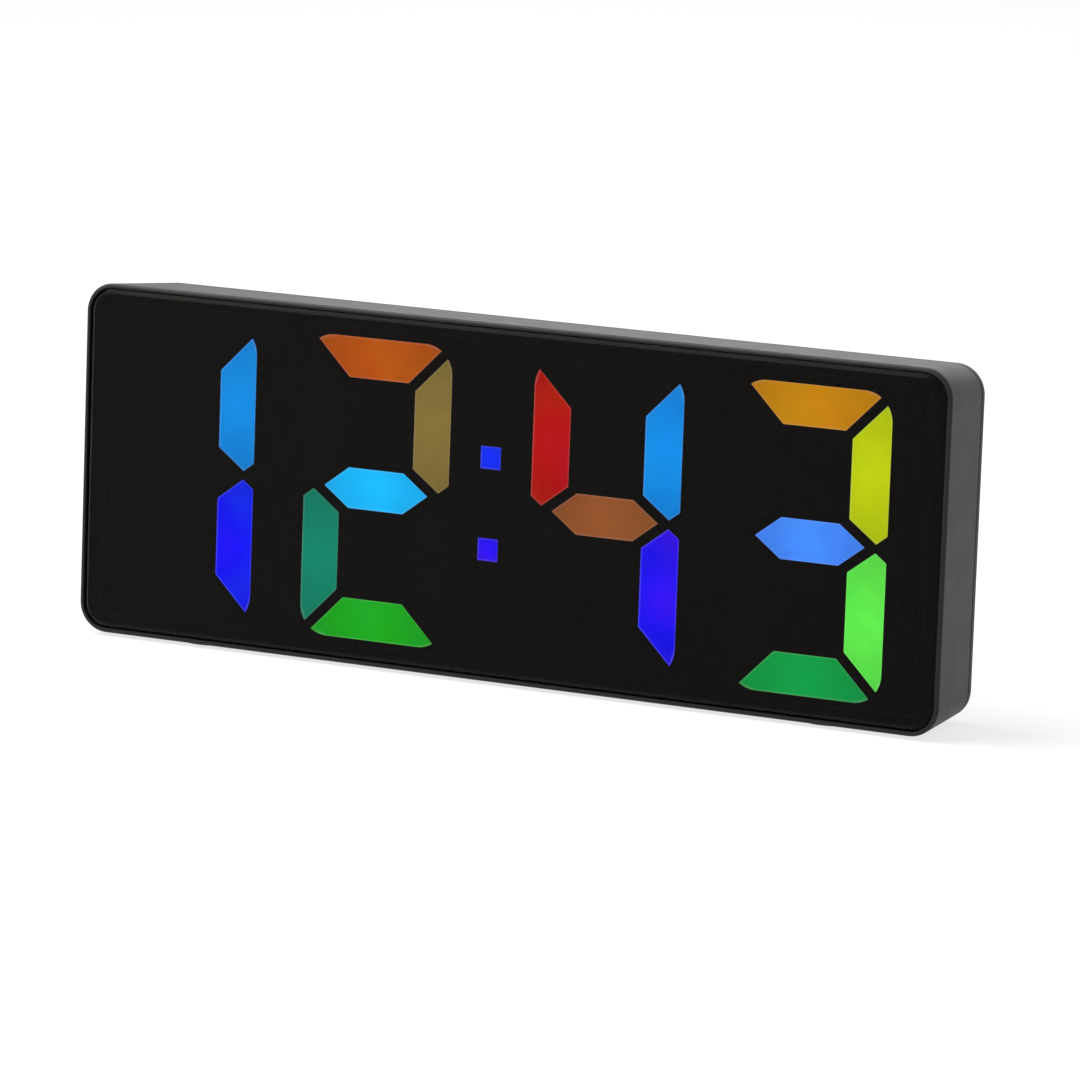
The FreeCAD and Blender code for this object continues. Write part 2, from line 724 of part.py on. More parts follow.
def rear_cover():
    body = new_body("rear_cover")
    lip_inset = "(case_wall + lip_clearance + lip_thickness)"
    shell = case_wedge(body, "Additive", SEAM, "case_depth", "0")
    edge = chamfer(body, shell, edges_at_depth(shell, "case_depth"), "rear_bevel")
    doc.recompute()
    chamfer(body, edge, edges_at_depth(edge, SEAM), "seam_bevel")

    lip = sketch_across(body, f"{SEAM} - lip_length")
    draw_case(lip, SEAM, "case_wall + lip_clearance")
    pad(body, lip, "lip_length")
    hollow = sketch_across(body, f"{SEAM} - lip_length")
    draw_case(hollow, SEAM, lip_inset)
    pocket(body, hollow, f"{PLATE_FRONT} - {SEAM} + lip_length")

    # The lip stops short of each boss of the front housing.
    gaps = sketch_across(body, f"{SEAM} - lip_length")
    for side, way in BOSSES:
        draw_notch(gaps, side, way)
    pocket(body, gaps, f"{BOSS_END} - {SEAM} + lip_length")

    # Raised seats under the case screws, and the posts that press on the board.
    seats = sketch_across(body, BOSS_END)
    for side, way in BOSSES:
        draw_rectangle_at(seats, side, boss_height(way), "2 * boss_radius", "2 * boss_radius")
    pad(body, seats, "seat_rise")
    posts = sketch_across(body, BOARD_BACK)
    for side in (HOURS_GAP, MINUTES_GAP):
        draw_cross(posts, side, MIDDLE, "post_span", "post_web")
    for side in (f"-{POST_X}", POST_X):
        for way in (1, -1):
            draw_cross(posts, side, f"({MIDDLE} + {way} * {POST_RISE})", "post_span", "post_web")
    pad(body, posts, f"{PLATE_FRONT} - {BOARD_BACK}")
    well_front = f"({BOARD_BACK} + {HOLDER_HEIGHT} + contact_thickness + well_gap)"
    well = sketch_across(body, well_front)
    well_radius = f"({DOOR_RADIUS} + 2 * door_clearance)"
    draw_circle(well, CELL_X, MIDDLE, f"{well_radius} + well_wall")
    draw_circle(well, CELL_X, MIDDLE, well_radius)
    pad(body, well, f"{PLATE_FRONT} - {well_front}")

    passages = sketch_across(body, BOSS_END)
    for side, way in BOSSES:
        draw_circle(passages, side, boss_height(way), "screw_shank_radius + screw_passage")
    pocket(body, passages, "cover_plate + seat_rise")
    heads = sketch_across(body, f"{BOSS_END} + screw_seat")
    for side, way in BOSSES:
        draw_circle(heads, side, boss_height(way), "screw_head_radius + screw_passage")
    pocket(body, heads, "cover_plate + seat_rise - screw_seat")

    holes = sketch_across(body, PLATE_FRONT)
    for number in range(len(BUTTONS)):
        draw_button(holes, number, "button_clearance")
    pocket(body, holes, "cover_plate")

    # Battery opening: a recess for the door, a shoulder behind it, and a notch for each lug.
    recess = sketch_across(body, DOOR_FACE)
    draw_circle(recess, CELL_X, MIDDLE, f"{DOOR_RADIUS} + door_clearance")
    pocket(body, recess, "door_disc")
    shoulder = sketch_across(body, PLATE_FRONT)
    draw_circle(shoulder, CELL_X, MIDDLE, f"{PLUG_RADIUS} + door_clearance")
    pocket(body, shoulder, "cover_plate")
    for number in range(int(value("lug_count"))):
        notch = sketch_across(body, PLATE_FRONT)
        draw_lug(notch, "notch_clearance", "door_clearance")
        turn_about_cell(notch, f"{number} * 360 / lug_count - door_turn")
        pocket(body, notch, "cover_plate")

    socket = sketch_across(body, PLATE_FRONT)
    draw_socket(socket, "socket_clearance")
    pocket(body, socket, "cover_plate")
    slot = sketch_across(body, PLATE_FRONT)
    slots_reach = "sound_slot_pitch * (sound_slot_count - 1)"
    draw_rectangle_at(
        slot, f"({SOCKET_X} - {slots_reach} / 2)", SOUNDER_Z,
        "sound_slot_width", "sound_slot_length",
    )
    first_slot = pocket(body, slot, "cover_plate")
    line_pattern(body, first_slot, slots_reach, "sound_slot_count")
    return body


def draw_foot(sketch, way, grow):
    """A foot's outline, seen from above: way is 1 on the right and -1 on the left."""
    middle = f"({FACE} + foot_depth + foot_length / 2)"
    draw_rounded_at(
        sketch, f"({way} * {FOOT_X})", middle,
        f"foot_breadth + 2 * ({grow})", f"foot_length + 2 * ({grow})", f"foot_radius + {grow}",
    )


def rubber_foot(name, way):
    body = new_body(name)
    sketch = sketch_level(body, "0")
    draw_foot(sketch, way, "0")
    block = pad(body, sketch, "foot_stand + foot_sink", backwards=False)
    doc.recompute()
    sole = edges_where(block, lambda point: abs(point.z) < NEAR)
    chamfer(body, block, sole, "foot_bevel")
    return body


# ---------------------------------------------------------------- display


def display_mask():
    body = new_body("display_mask")
    sketch = sketch_across(body, LENS_BACK)
    draw_block(sketch, "-mask_inset", "ledge_radius")
    pad(body, sketch, "mask_thickness")
    windows = sketch_across(body, LENS_BACK)
    draw_digit(windows, "0", rounded=True)
    four_digits(body, [pocket(body, windows, "mask_thickness")])
    dots = sketch_across(body, LENS_BACK)
    draw_colon(dots, "0")
    pocket(body, dots, "mask_thickness")
    return body


def reflector_block():
    """The block whose tapered funnels carry each diode's light to its segment."""
    body = new_body("reflector_block")
    outline = sketch_across(body, BLOCK_FRONT)
    draw_block(outline, "0", "ledge_radius")
    pad(body, outline, "block_depth")
    flange = sketch_across(body, LEDGE_BACK)
    draw_block(flange, "block_flange", "ledge_radius")
    pad(body, flange, "block_flange_depth")

    notches = sketch_across(body, BLOCK_FRONT)
    for side, way in BOSSES:
        draw_notch(notches, side, way)
    pocket(body, notches, "block_depth")

    seat_grow = "(-diffuser_overlap - diffuser_clearance)"
    seats = sketch_across(body, BLOCK_FRONT)
    draw_digit(seats, seat_grow)
    four_digits(body, [pocket(body, seats, "diffuser_thickness")])
    colon_seats = sketch_across(body, BLOCK_FRONT)
    draw_colon(colon_seats, seat_grow)
    pocket(body, colon_seats, "diffuser_thickness")
    floor = f"({BLOCK_FRONT} + diffuser_thickness)"
    throats = sketch_across(body, floor)
    draw_digit(throats, "funnel_inset")
    straight = four_digits(body, [pocket(body, throats, "block_depth - diffuser_thickness")])
    doc.recompute()
    draft(body, straight, floor, BLOCK_BACK, "funnel_draft")
    colon_throats = sketch_across(body, floor)
    draw_colon(colon_throats, "funnel_inset")
    pocket(body, colon_throats, "block_depth - diffuser_thickness")

    pilots = sketch_across(body, BLOCK_BACK)
    draw_board_screws(pilots, "board_screw_shank_radius + screw_clearance")
    pocket(body, pilots, "board_screw_shank_length - board_thickness", forwards=True)
    return body


def diffuser(name, letter, digit_place):
    body = new_body(name)
    sketch = sketch_across(body, BLOCK_FRONT)
    draw_loop(sketch, segment_outline(letter, "(-diffuser_overlap)", digit_place, DIGIT_MIDDLE))
    pad(body, sketch, "diffuser_thickness")
    return body


def colon_diffuser(name, way):
    body = new_body(name)
    sketch = sketch_across(body, BLOCK_FRONT)
    size = "(colon_dot + 2 * diffuser_overlap)"
    draw_rectangle_at(sketch, DISPLAY_MIDDLE, f"({DIGIT_MIDDLE} + {way} * colon_rise)", size, size)
    pad(body, sketch, "diffuser_thickness")
    return body


def draw_board_screws(sketch, radius):
    for side in (HOURS_GAP, MINUTES_GAP):
        for way in (1, -1):
            draw_circle(sketch, side, f"{MIDDLE} + {way} * board_screw_rise", radius)


def display_board():
    body = new_body("display_board")
    outline = sketch_across(body, BLOCK_BACK)
    draw_block(outline, "-board_inset", "ledge_radius")
    pad(body, outline, "board_thickness")
    notches = sketch_across(body, BLOCK_BACK)
    for side, way in BOSSES:
        draw_notch(notches, side, way)
    pocket(body, notches, "board_thickness")
    holes = sketch_across(body, BLOCK_BACK)
    draw_board_screws(holes, "board_screw_shank_radius + screw_passage")
    pocket(body, holes, "board_thickness")
    return body


def rgb_leds():
    """The diodes: one at the middle of each segment, and a smaller one behind each colon dot."""
    body = new_body("rgb_leds")
    front = f"({BLOCK_BACK} - led_thickness)"
    upright = f"({DIGIT_WIDTH} / 2 - segment_stroke / 2)"
    bar = f"({DIGIT_HEIGHT} / 2 - segment_stroke / 2)"
    digit = sketch_across(body, front)
    for way in (-1, 0, 1):
        height = f"({DIGIT_MIDDLE} + {way} * {bar})"
        draw_rectangle_at(digit, FIRST_DIGIT, height, "led_length", "led_breadth")
    for side in (-1, 1):
        for way in (-1, 1):
            across, height = f"({FIRST_DIGIT} + {side} * {upright})", f"({DIGIT_MIDDLE} + {way} * {bar} / 2)"
            draw_rectangle_at(digit, across, height, "led_breadth", "led_length")
    four_digits(body, [pad(body, digit, "led_thickness")])
    colon = sketch_across(body, front)
    for way in (1, -1):
        height = f"({DIGIT_MIDDLE} + {way} * colon_rise)"
        draw_rectangle_at(colon, DISPLAY_MIDDLE, height, "colon_led_side", "colon_led_side")
    pad(body, colon, "led_thickness")
    return body


# ---------------------------------------------------------------- rear of the board


def screws(name, spots, seat, head_radius, head_height, shank_radius, shank_length, slot_depth):
    """Pan-head screws in a group: each head stands behind its seat and its shank runs forwards."""
    body = new_body(name)
    shanks = sketch_across(body, f"{seat} - {shank_length}")
    heads = sketch_across(body, seat)
    slots = sketch_across(body, f"{seat} + {head_height} - {slot_depth}")
    for x, y in spots:
        draw_circle(shanks, x, y, shank_radius)
        draw_circle(heads, x, y, head_radius)
        draw_cross(slots, x, y, "drive_slot_length", "drive_slot_width")
    pad(body, heads, head_height)
    pad(body, shanks, shank_length)
    pocket(body, slots, slot_depth)
    return body


def draw_cross(sketch, x, y, span, web):
    """The outline of an upright cross, for a screw's recess or a ribbed post."""
    near, far = f"{web} / 2", f"{span} / 2"
    turns = [(near, far), (near, near), (far, near)]
    corners = []
    for flip_x, flip_y, order in ((1, 1, 1), (1, -1, -1), (-1, -1, 1), (-1, 1, -1)):
        for right, high in turns[::order]:
            corners.append((f"{x} + {flip_x} * {right}", f"{y} + {flip_y} * {high}"))
    draw_loop(sketch, corners)


def button_place(number):
    """The middle of a button: x and z, counted from the left as seen from the front."""
    return f"(({number} - {(len(BUTTONS) - 1) / 2}) * button_pitch)", f"({MIDDLE} + button_rise)"


def draw_button(sketch, number, grow):
    draw_rounded_at(
        sketch, *button_place(number),
        f"button_length + 2 * {grow}", f"button_breadth + 2 * {grow}", f"button_radius + {grow}",
    )


def button(name, number):
    """A cap with the flange that keeps it in the cover, and the stem that meets its switch."""
    body = new_body(name)
    cap = sketch_across(body, f"{PLATE_FRONT} - button_play")
    draw_button(cap, number, "0")
    cap_pad = pad(body, cap, "cover_plate + button_stand + button_play")
    doc.recompute()
    chamfer(body, cap_pad, edges_at_depth(cap_pad, "case_depth + button_stand"), "button_bevel")
    flange = sketch_across(body, f"{PLATE_FRONT} - button_play - button_flange_thickness")
    draw_rectangle_at(
        flange, *button_place(number),
        "button_length + 2 * button_flange", "button_breadth + 2 * button_flange",
    )
    pad(body, flange, "button_flange_thickness")
    stem = sketch_across(body, STEM_FRONT)
    draw_rectangle_at(stem, *button_place(number), "stem_side", "stem_side")
    pad(body, stem, f"{PLATE_FRONT} - button_play - button_flange_thickness - {STEM_FRONT}")
    return body


def switch_plunger(name, number):
    body = new_body(name)
    sketch = sketch_across(body, f"{SWITCH_BACK} - plunger_hold")
    draw_rectangle_at(sketch, *button_place(number), "plunger_side", "plunger_side")
    pad(body, sketch, "plunger_hold + plunger_rise")
    return body


def tact_switches():
    """The cases of the switches, each with a bore for its plunger."""
    body = new_body("tact_switches")
    outlines = sketch_across(body, BOARD_BACK)
    bores = sketch_across(body, f"{SWITCH_BACK} - plunger_hold - button_travel - plunger_clearance")
    for number in range(len(BUTTONS)):
        draw_rectangle_at(outlines, *button_place(number), "switch_side", "switch_side")
        bore_side = "(plunger_side + 2 * plunger_clearance)"
        draw_rectangle_at(bores, *button_place(number), bore_side, bore_side)
    pad(body, outlines, "switch_height")
    pocket(body, bores, "plunger_hold + button_travel + plunger_clearance")
    return body


def turn_about_cell(sketch, turn):
    """Turns a sketch about the battery's middle. The angle is as seen from the front."""
    bind(sketch, "AttachmentOffset.Rotation.Angle", turn)
    cosine, sine = f"cos(({turn}) * 1 deg)", f"sin(({turn}) * 1 deg)"
    bind(sketch, "AttachmentOffset.Base.x", f"{CELL_X} - {CELL_X} * {cosine} + {MIDDLE} * {sine}")
    bind(sketch, "AttachmentOffset.Base.y", f"{MIDDLE} - {CELL_X} * {sine} - {MIDDLE} * {cosine}")


def draw_lug(sketch, side_grow, end_grow):
    """A bayonet lug that points up, from inside the plug to its tip."""
    half_breadth = f"(lug_breadth / 2 + {side_grow})"
    draw_rectangle(
        sketch,
        f"{CELL_X} - {half_breadth}", f"{MIDDLE} + {PLUG_RADIUS} - door_plug_wall",
        f"{CELL_X} + {half_breadth}", f"{MIDDLE} + {PLUG_RADIUS} + lug_reach + {end_grow}",
    )


def battery_door():
    """A round door with a coin slot. Its lugs hook under the cover's shoulder and turn to a notch."""
    body = new_body("battery_door")
    disc = sketch_across(body, DOOR_FACE)
    draw_circle(disc, CELL_X, MIDDLE, DOOR_RADIUS)
    pad(body, disc, "door_disc")
    plug = sketch_across(body, f"{LUG_BACK} - lug_thickness")
    draw_circle(plug, CELL_X, MIDDLE, PLUG_RADIUS)
    pad(body, plug, f"{DOOR_FACE} - {LUG_BACK} + lug_thickness")
    for number in range(int(value("lug_count"))):
        lug = sketch_across(body, f"{LUG_BACK} - lug_thickness")
        draw_lug(lug, "0", "0")
        turn_about_cell(lug, f"{number} * 360 / lug_count")
        pad(body, lug, "lug_thickness")
    hollow = sketch_across(body, f"{LUG_BACK} - lug_thickness")
    draw_circle(hollow, CELL_X, MIDDLE, f"{PLUG_RADIUS} - door_plug_wall")
    pocket(body, hollow, f"case_depth - door_roof - {LUG_BACK} + lug_thickness")
    slot = sketch_across(body, "case_depth - coin_slot_depth")
    draw_rectangle_at(slot, CELL_X, MIDDLE, "coin_slot_length", "coin_slot_width")
    pocket(body, slot, "coin_slot_depth")
    return body


def coin_cell_holder():
    body = new_body("coin_cell_holder")
    cup = sketch_across(body, BOARD_BACK)
    draw_circle(cup, CELL_X, MIDDLE, HOLDER_RADIUS)
    pad(body, cup, HOLDER_HEIGHT)
    seat = sketch_across(body, f"{BOARD_BACK} + holder_floor")
    draw_circle(seat, CELL_X, MIDDLE, "cell_radius + cell_clearance")
    pocket(body, seat, f"{HOLDER_HEIGHT} - holder_floor")
    notch = sketch_across(body, f"{BOARD_BACK} + holder_floor")
    draw_rectangle(
        notch,
        f"{CELL_X} - holder_notch / 2", f"{MIDDLE} - {HOLDER_RADIUS} - holder_wall",
        f"{CELL_X} + holder_notch / 2", MIDDLE,
    )
    pocket(body, notch, f"{HOLDER_HEIGHT} - holder_floor")
    return body


def coin_cell():
    body = new_body("coin_cell")
    can = sketch_across(body, f"{BOARD_BACK} + holder_floor + cell_step_height")
    draw_circle(can, CELL_X, MIDDLE, "cell_radius")
    pad(body, can, "cell_thickness - cell_step_height")
    step = sketch_across(body, f"{BOARD_BACK} + holder_floor")
    draw_circle(step, CELL_X, MIDDLE, "cell_radius - cell_step")
    pad(body, step, "cell_step_height")
    return body


def cell_contact():
    """A bent spring strip: up the holder's side, over its rim and down on to the cell."""
    body = new_body("cell_contact")
    rim = f"({MIDDLE} + {HOLDER_RADIUS})"
    board = f"({FACE} + {BOARD_BACK})"
    top = f"({board} + {HOLDER_HEIGHT})"
    cell_top = f"({board} + holder_floor + cell_thickness)"
    end = f"({MIDDLE} + cell_radius - contact_reach)"
    strip = sketch_side(body, f"{CELL_X} - contact_breadth / 2")
    draw_loop(strip, [
        (board, rim),
        (board, f"{rim} + contact_thickness"),
        (f"{top} + contact_thickness", f"{rim} + contact_thickness"),
        (f"{top} + contact_thickness", f"{end} + contact_tip"),
        (f"{cell_top} + contact_thickness", end),
        (cell_top, end),
        (cell_top, f"{end} + contact_thickness"),
        (top, f"{end} + contact_tip + contact_thickness"),
        (top, rim),
    ])
    pad(body, strip, "contact_breadth", backwards=False)
    return body


def draw_socket(sketch, grow):
    draw_rounded_at(
        sketch, SOCKET_X, SOCKET_Z,
        f"socket_length + 2 * ({grow})", f"socket_breadth + 2 * ({grow})", f"socket_radius + {grow}",
    )


def power_socket():
    body = new_body("power_socket")
    mouth = "(case_depth - socket_recess)"
    shell = sketch_across(body, BOARD_BACK)
    draw_socket(shell, "0")
    pad(body, shell, f"{mouth} - {BOARD_BACK}")
    hollow = sketch_across(body, f"{mouth} - socket_depth")
    draw_socket(hollow, "(-socket_shell)")
    pocket(body, hollow, "socket_depth")
    tongue = sketch_across(body, f"{mouth} - socket_depth")
    draw_rectangle_at(tongue, SOCKET_X, SOCKET_Z, "tongue_length", "tongue_breadth")
    pad(body, tongue, "socket_depth - tongue_setback")
    return body


def sounder():
    body = new_body("sounder")
    can = sketch_across(body, BOARD_BACK)
    draw_circle(can, SOCKET_X, SOUNDER_Z, "sounder_radius")
    can_pad = pad(body, can, "sounder_height")
    doc.recompute()
    top = f"{BOARD_BACK} + sounder_height"
    chamfer(body, can_pad, edges_at_depth(can_pad, top), "sounder_bevel")
    hole = sketch_across(body, f"{top} - sounder_height / 2")
    draw_circle(hole, SOCKET_X, SOUNDER_Z, "sounder_hole")
    pocket(body, hole, "sounder_height / 2")
    return body


def driver_chips():
    body = new_body("driver_chips")
    legs = sketch_across(body, BOARD_BACK)
    packages = sketch_across(body, f"{BOARD_BACK} + leg_thickness")
    height = f"({MIDDLE} - chip_row_drop)"
    length = "((leg_count - 1) * leg_pitch + leg_width + 2 * driver_end)"
    for way in (1, -1):
        middle = f"({way} * driver_side)"
        draw_rectangle_at(packages, middle, height, length, "driver_breadth")
        for number in range(int(value("leg_count"))):
            leg = f"({middle} + ({number} - (leg_count - 1) / 2) * leg_pitch)"
            draw_rectangle_at(legs, leg, height, "leg_width", "driver_breadth + 2 * leg_reach")
    pad(body, packages, "driver_height - leg_thickness")
    pad(body, legs, "leg_thickness")
    return body


def clock_chip():
    body = new_body("clock_chip")
    outline = sketch_across(body, BOARD_BACK)
    height = f"({MIDDLE} - chip_row_drop)"
    draw_rectangle_at(outline, "0", height, "clock_chip_side", "clock_chip_side")
    package = pad(body, outline, "clock_chip_height")
    doc.recompute()
    top = edges_at_depth(package, f"{BOARD_BACK} + clock_chip_height")
    chamfer(body, package, top, "clock_chip_bevel")
    return body


def clock_crystal():
    body = new_body("clock_crystal")
    outline = sketch_across(body, BOARD_BACK)
    height = "(foot_stand + crystal_rise)"
    draw_rounded_at(outline, "0", height, "crystal_length", "crystal_breadth", "crystal_radius")
    pad(body, outline, "crystal_height")
    return body


# ---------------------------------------------------------------- assembly

pieces = [
    front_lens(),
    lens_tape(),
    front_housing(),
    rear_cover(),
    rubber_foot("rubber_foot_left", -1),
    rubber_foot("rubber_foot_right", 1),
    display_mask(),
    reflector_block(),
    display_board(),
    rgb_leds(),
    battery_door(),
    coin_cell_holder(),
    coin_cell(),
    cell_contact(),
    power_socket(),
    sounder(),
    driver_chips(),
    clock_chip(),
    clock_crystal(),
    tact_switches(),
]

DIGITS = {
    "hours_tens": FIRST_DIGIT,
    "hours_units": f"({FIRST_DIGIT} + {DIGIT_PITCH})",
    "minutes_tens": f"({FIRST_DIGIT} + {DIGIT_PITCH} + {COLON_PITCH})",
    "minutes_units": f"({FIRST_DIGIT} + 2 * {DIGIT_PITCH} + {COLON_PITCH})",
}
for digit_name, digit_place in DIGITS.items():
    for letter in "abcdefg":
        pieces.append(diffuser(f"diffuser_{digit_name}_{letter}", letter, digit_place))
pieces.append(colon_diffuser("diffuser_colon_upper", 1))
pieces.append(colon_diffuser("diffuser_colon_lower", -1))

for number, use in enumerate(BUTTONS):
    pieces.append(button(f"button_{use}", number))
    pieces.append(switch_plunger(f"switch_plunger_{use}", number))

pieces.append(screws(
    "case_screws", [(side, boss_height(way)) for side, way in BOSSES], f"({BOSS_END} + screw_seat)",
    "screw_head_radius", "screw_head_height", "screw_shank_radius", "screw_shank_length", "drive_slot_depth",
))
pieces.append(screws(
    "board_screws",
    [(side, f"{MIDDLE} + {way} * board_screw_rise") for side in (HOURS_GAP, MINUTES_GAP) for way in (1, -1)],
    BOARD_BACK, "board_screw_head_radius", "board_screw_head_height",
    "board_screw_shank_radius", "board_screw_shank_length", "drive_slot_depth",
))

doc.recompute()

# ---------------------------------------------------------------- checks and export

ADDING = ("Pad", "Draft")
TAKING = ("Pocket", "SubtractiveWedge", "Chamfer")
for item in doc.Objects:
    if "Invalid" in item.State or "Error" in item.State:
        raise RuntimeError(f"{item.Label} did not recompute: {item.State}")
    kind = item.TypeId.split("::")[-1]
    before = getattr(item, "BaseFeature", None)
    if before is None or kind not in ADDING + TAKING:
        continue
    gained = item.Shape.Volume - before.Shape.Volume
    if (gained <= 0) if kind in ADDING else (gained >= 0):
        raise RuntimeError(f"{item.Label} of {item.getParentGeoFeatureGroup().Label} changed nothing")
for piece in pieces:
    if piece.Shape.isNull() or not piece.Shape.isValid():
        raise RuntimeError(f"{piece.Label} has no valid shape")

os.makedirs("parts", exist_ok=True)
for piece in pieces:
    piece.Shape.exportStep(f"parts/{piece.Label}.step")
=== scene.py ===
import math

import bmesh
import bpy
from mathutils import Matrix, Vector
from mathutils.geometry import convex_hull_2d


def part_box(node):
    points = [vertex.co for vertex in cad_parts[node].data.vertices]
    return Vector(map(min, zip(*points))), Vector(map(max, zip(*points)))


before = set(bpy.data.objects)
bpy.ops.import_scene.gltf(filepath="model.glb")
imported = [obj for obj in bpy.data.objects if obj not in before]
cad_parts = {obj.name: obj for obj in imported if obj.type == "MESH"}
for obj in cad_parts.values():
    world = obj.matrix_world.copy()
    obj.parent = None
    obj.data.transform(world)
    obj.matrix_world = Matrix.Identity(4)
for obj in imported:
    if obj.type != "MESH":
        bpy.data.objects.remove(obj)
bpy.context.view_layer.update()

MM = 0.001

# The camera: its place, and how it is pitched, rolled and turned
CAMERA_PLACE = (501.19 * MM, -997.25 * MM, 210.07 * MM)
CAMERA_PITCH = 80.496
CAMERA_ROLL = -2.032
CAMERA_TURN = 26.915
SENSOR_WIDTH = 36.0
FOCAL_LENGTH = 226.51

# The studio: each soft box with its place, what it is aimed at, its size and its watts
SOFT_BOXES = {
    "top_box": ((-0.5, -0.2, 1.0), (0.0, 0.0, 0.0), 0.8, 20.0),
    "front_box": ((-0.7, -1.0, 0.9), (0.0, 0.0, 0.03), 0.8, 5.0),
    "back_box": ((-0.25, 1.15, 0.55), (0.0, 0.0, 0.05), 0.9, 2.6),
}
ROOM_LIGHT = 0.6
FLOOR_RADIUS = 4.0

# How white the paper looks round the object, where it holds the shadow, and far behind it, and
# between which distances in metres the one goes over into the other
PAPER_NEAR = 0.75
PAPER_FAR = 1.0
SHADE_ENDS = 0.5
WHITE_BEGINS = 2.0

# What the display shows: the lit segments of each digit with the colours of their light
LIT_SEGMENTS = {
    "hours_tens": {"b": "#0182da", "c": "#0101ed"},
    "hours_units": {
        "a": "#a74c04",
        "b": "#7a6834",
        "g": "#0aaef6",
        "e": "#017b64",
        "d": "#129f1b",
    },
    "minutes_tens": {"f": "#a80101", "g": "#884d26", "b": "#0185e0", "c": "#2201ea"},
    "minutes_units": {
        "a": "#b67c01",
        "b": "#afc301",
        "g": "#3e84f4",
        "c": "#55dd49",
        "d": "#019343",
    },
}
LIT_COLON = {"upper": "#012cf8", "lower": "#2d01f4"}

# The dye of the smoked lens, and how much brighter its diffusers are behind it to make up for it
LENS_SMOKE = "#7a7875"
LIGHT_BEHIND_LENS = 5.35

# How strongly plastic parts mirror the room: the outer ABS, rubber, and what must stay black
ABS_GLOSS = 0.15
RUBBER_GLOSS = 0.3
BLACK_GLOSS = 0.1

BUTTONS = ("set", "alarm", "up", "down")

# Most values of a noise or cell texture lie between these
SPREAD = (0.3, 0.7)

# A wave texture has this many light and dark bands over a length of 1
BANDS = 6.3


def linear(hex_colour):
    """An sRGB hex colour as the linear red, green, blue and alpha that shaders take."""
    values = [int(hex_colour[place : place + 2], 16) / 255 for place in (1, 3, 5)]
    curve = [v / 12.92 if v <= 0.04045 else ((v + 0.055) / 1.055) ** 2.4 for v in values]
    return (*curve, 1.0)


def per_mm(size):
    """The scale of a texture whose features are this many millimetres across."""
    return 1 / (size * MM)


def add(tree, kind, *values, **named):
    """Adds a node with its settings and links.

    Values go to the node's open inputs in order. A name with a capital is an input, and any other
    is a setting. An input takes a value, an output, or a node, whose first open output feeds it.
    So a MapRange is given a value, the two ends of its range, and what they become if not 0 and 1.
    """
    node = tree.nodes.new("ShaderNode" + kind)
    given = []
    for name, value in named.items():
        if name[0].isupper():
            given.append((node.inputs[name.replace("_", " ")], value))
        else:
            setattr(node, name, value)
    given += zip([socket for socket in node.inputs if socket.enabled], values)
    for socket, value in given:
        if isinstance(value, bpy.types.Node):
            value = next(output for output in value.outputs if output.enabled)
        if isinstance(value, bpy.types.NodeSocket):
            tree.links.new(value, socket)
        else:
            socket.default_value = value
    return node


def new_material(name):
    """An empty material with its node tree and the object's own coordinates."""
    material = bpy.data.materials.new(name)
    material.use_nodes = True
    tree = material.node_tree
    tree.nodes.clear()
    return material, tree, add(tree, "TexCoord").outputs["Object"]


def shade(tree, **inputs):
    """The shader of a finish, with all that it reads."""
    add(tree, "OutputMaterial", add(tree, "BsdfPrincipled", **inputs))


# ---------------------------------------------------------------- plastics of the outside


def moulded_abs(name, hex_colour, flow_hex, roughness, texture, relief):
    """ABS from a spark-eroded mould: a soft, wide sheen, and faint clouds where the melt flowed.

    The real texture is about 0.1 mm across. It is drawn coarser, at the given size, to show.
    """
    material, tree, place = new_material(name)
    flow = add(tree, "TexNoise", Vector=place, Scale=per_mm(14.0), Detail=3.0)
    clouds = add(tree, "MapRange", flow, *SPREAD)
    sheen = add(tree, "TexNoise", Vector=place, Scale=per_mm(5.0))
    pits = add(tree, "TexNoise", Vector=place, Scale=per_mm(texture), Detail=1.0)
    shade(
        tree,
        Base_Color=add(tree, "Mix", clouds, linear(hex_colour), linear(flow_hex), data_type="RGBA"),
        Roughness=add(tree, "MapRange", sheen, *SPREAD, roughness - 0.02, roughness + 0.02),
        IOR=1.53,
        Specular_IOR_Level=ABS_GLOSS,
        Normal=add(tree, "Bump", Height=pits, Distance=relief * MM),
    )
    return material


def moulded_rubber():
    """Nitrile rubber from a plain mould: dull, with paler bloom and dust held in its surface."""
    material, tree, place = new_material("moulded_rubber")
    dust = add(tree, "TexNoise", Vector=place, Scale=per_mm(1.5), Detail=4.0)
    bloom = add(tree, "MapRange", dust, 0.4, 0.75)
    pores = add(tree, "TexNoise", Vector=place, Scale=per_mm(0.25))
    shade(
        tree,
        Base_Color=add(tree, "Mix", bloom, linear("#171716"), linear("#292826"), data_type="RGBA"),
        Roughness=add(tree, "MapRange", bloom, 0.0, 1.0, 0.78, 0.92),
        IOR=1.52,
        Specular_IOR_Level=RUBBER_GLOSS,
        Normal=add(tree, "Bump", Height=pores, Distance=0.02 * MM),
    )
    return material


# ---------------------------------------------------------------- the display


